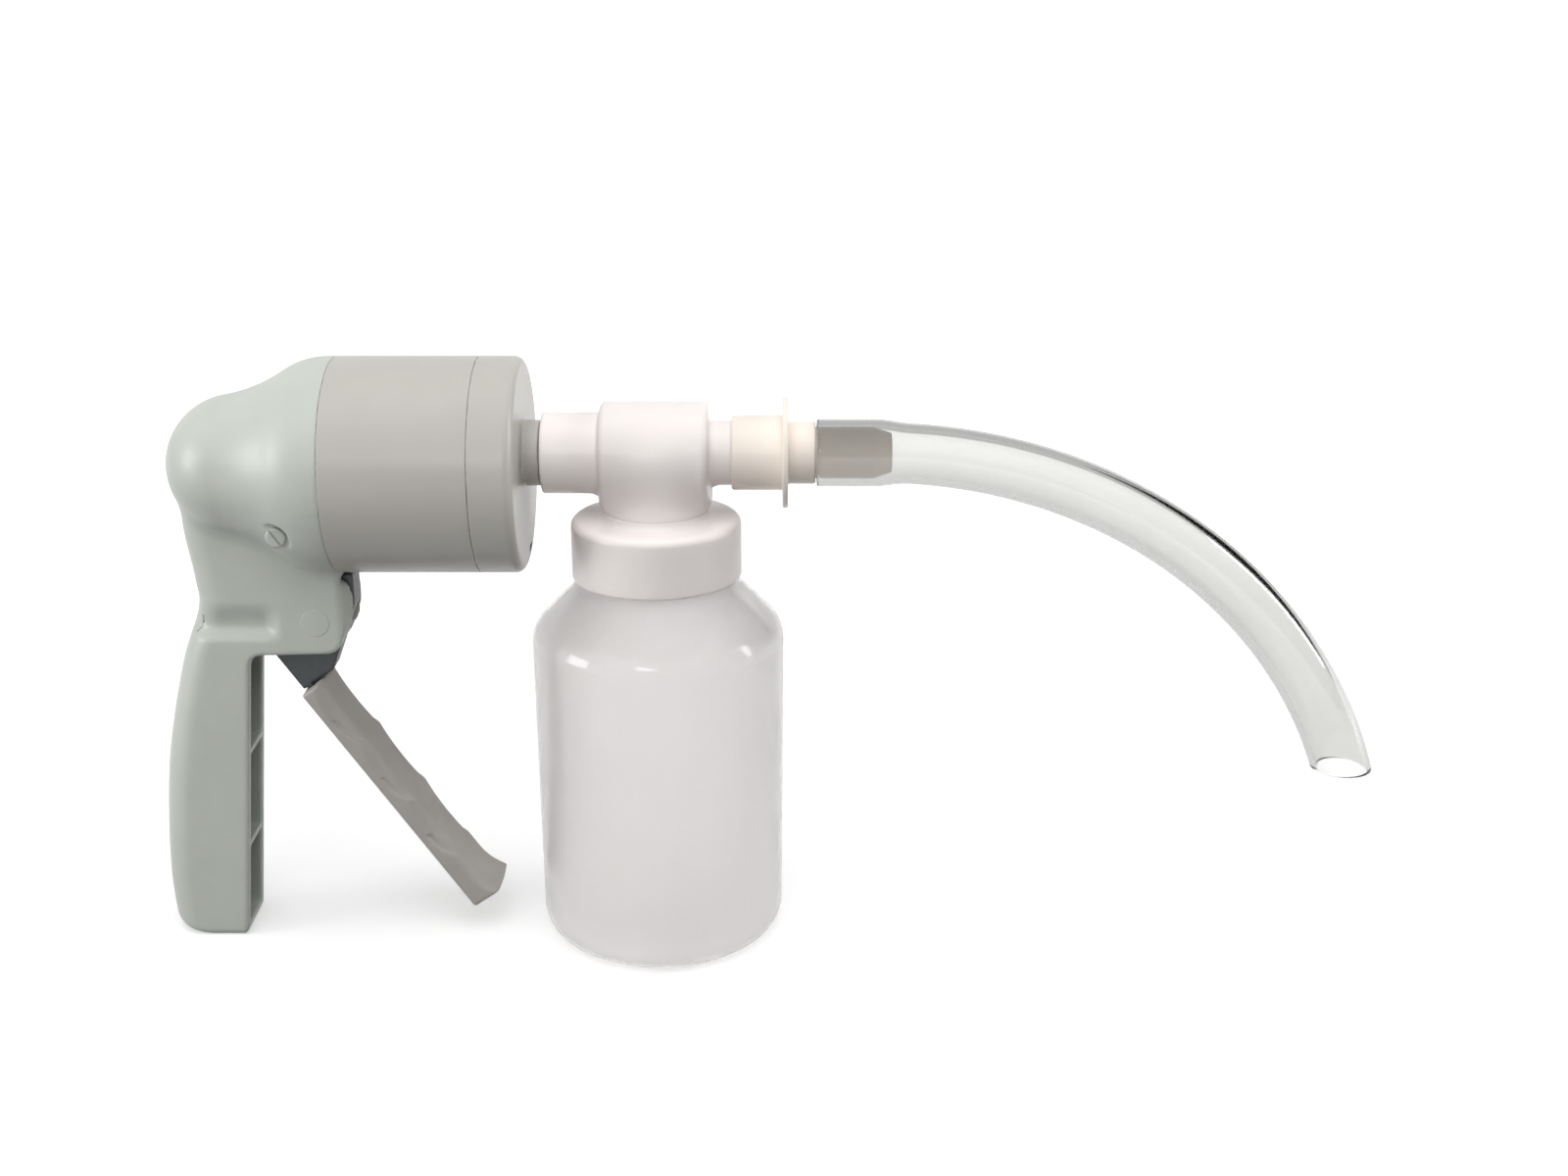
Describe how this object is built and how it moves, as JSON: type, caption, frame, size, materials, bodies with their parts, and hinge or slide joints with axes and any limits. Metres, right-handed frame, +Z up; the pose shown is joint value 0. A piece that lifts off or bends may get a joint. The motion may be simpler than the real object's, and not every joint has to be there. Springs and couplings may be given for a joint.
{
  "type": "hand suction pump",
  "caption": "Hand-held manual suction pump: trigger grip, piston cylinder, tee with a screw-on collection bottle and a bent clear catheter.",
  "frame": {"origin": "on the surface the bottle and the grip's foot stand on, in the middle of the pump's length and width", "axes": "+X along the pump from the grip to the catheter, +Y across it, +Z up"},
  "size_m": [0.3178, 0.0644, 0.1545],
  "materials": {
    "housing_abs": "fine moulded satin, light greenish grey",
    "barrel_abs": "smooth satin, light warm grey",
    "lever_nylon": "moulded, near-black grey",
    "lever_grip": "moulded elastomer, warm grey",
    "white_plastic": "moulded, white",
    "bottle_plastic": "blown, milky and translucent",
    "ivory_plastic": "moulded, ivory",
    "clear_tube": "extruded, clear",
    "seal_rubber": "moulded, black",
    "valve_silicone": "moulded",
    "inner_acetal": "moulded, natural white",
    "steel": "plain steel"
  },
  "bodies": {
    "pump": {"rear_housing": "housing_abs", "housing_screw_left": "steel", "housing_screw_right": "steel", "pivot_pin": "housing_abs", "barrel": "barrel_abs", "rod_bush": "inner_acetal", "front_cap": "barrel_abs", "valve_plate": "inner_acetal", "plate_gasket": "seal_rubber", "inlet_valve": "valve_silicone", "exhaust_valve": "valve_silicone", "return_spring": "steel", "tee_adapter": "white_plastic", "tee_baffle": "white_plastic", "port_o_ring": "seal_rubber", "bottle_gasket": "seal_rubber"},
    "lever": {"lever_core": "lever_nylon", "lever_grip": "lever_grip"},
    "piston_set": {"piston": "inner_acetal", "piston_seal": "seal_rubber", "piston_screw": "steel", "piston_rod": "inner_acetal", "rod_cross_pin": "steel"},
    "collar": {"bottle_collar": "white_plastic"},
    "bottle": {"bottle": "bottle_plastic"},
    "catheter": {"catheter_connector": "ivory_plastic", "catheter_tube": "clear_tube"}
  },
  "joints": [
    {"name": "lever_squeeze", "type": "hinge", "parent": "pump", "child": "lever", "pos_m": [-0.1143, 0, 0.0884], "axis": [0, 1, 0], "range_deg": [0, 34], "stiffness_Nm_per_rad": 1.3, "springref_deg": -17.19},
    {"name": "piston_stroke", "type": "slide", "parent": "pump", "child": "piston_set", "axis": [1, 0, 0], "range_m": [0, 0.024], "deforming": ["return_spring"]},
    {"name": "collar_turn", "type": "hinge", "parent": "pump", "child": "collar", "pos_m": [-0.02825, 0, 0.1065], "axis": [0, 0, 1], "range_deg": [0, 540]},
    {"name": "bottle_drop", "type": "slide", "parent": "pump", "child": "bottle", "axis": [0, 0, -1], "range_m": [0, 0.006]},
    {"name": "catheter_swivel", "type": "hinge", "parent": "pump", "child": "catheter", "pos_m": [0, 0, 0.1305], "axis": [1, 0, 0], "continuous": true}
  ],
  "couplings": [
    {"joint": "piston_stroke", "follows": "lever_squeeze", "m_per_rad": 0.04044},
    {"joint": "bottle_drop", "follows": "collar_turn", "m_per_rad": 0.0006366}
  ]
}
